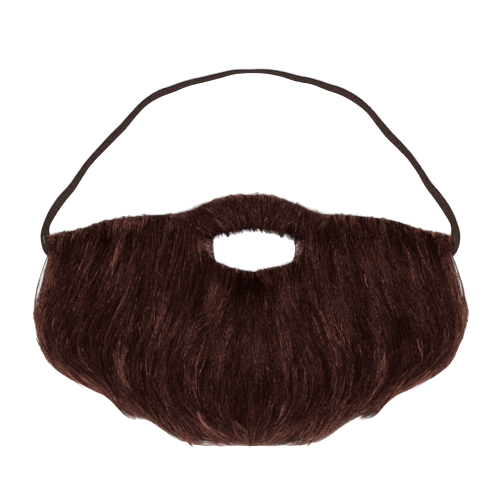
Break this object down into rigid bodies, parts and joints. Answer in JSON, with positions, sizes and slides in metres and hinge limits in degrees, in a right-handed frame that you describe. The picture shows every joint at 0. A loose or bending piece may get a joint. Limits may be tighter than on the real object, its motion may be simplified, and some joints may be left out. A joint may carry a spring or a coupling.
{
  "type": "fake beard",
  "caption": "Full false beard and moustache of synthetic hair on a net backing with a mouth hole, held on by one elastic head strap.",
  "frame": {"origin": "on the resting surface, under the middle of the whole beard and strap as they lie flat", "axes": "+X across the beard to the right as seen from its face, +Y from the chin towards the head strap, +Z out of the face of the beard"},
  "size_m": [0.2804, 0.2465, 0.0282],
  "materials": {
    "brown_synthetic_hair": "brushed modacrylic fibre with a soft sheen",
    "trimmed_synthetic_hair": "short trimmed modacrylic fibre",
    "brown_net": "matte knitted net",
    "woven_elastic": "matte woven ribbed elastic"
  },
  "bodies": {
    "root": {"net_backing": "brown_net", "cheek_hair_left": "brown_synthetic_hair", "cheek_hair_right": "brown_synthetic_hair", "chin_hair": "brown_synthetic_hair", "moustache_hair": "trimmed_synthetic_hair", "elastic_strap": "woven_elastic"}
  },
  "joints": []
}
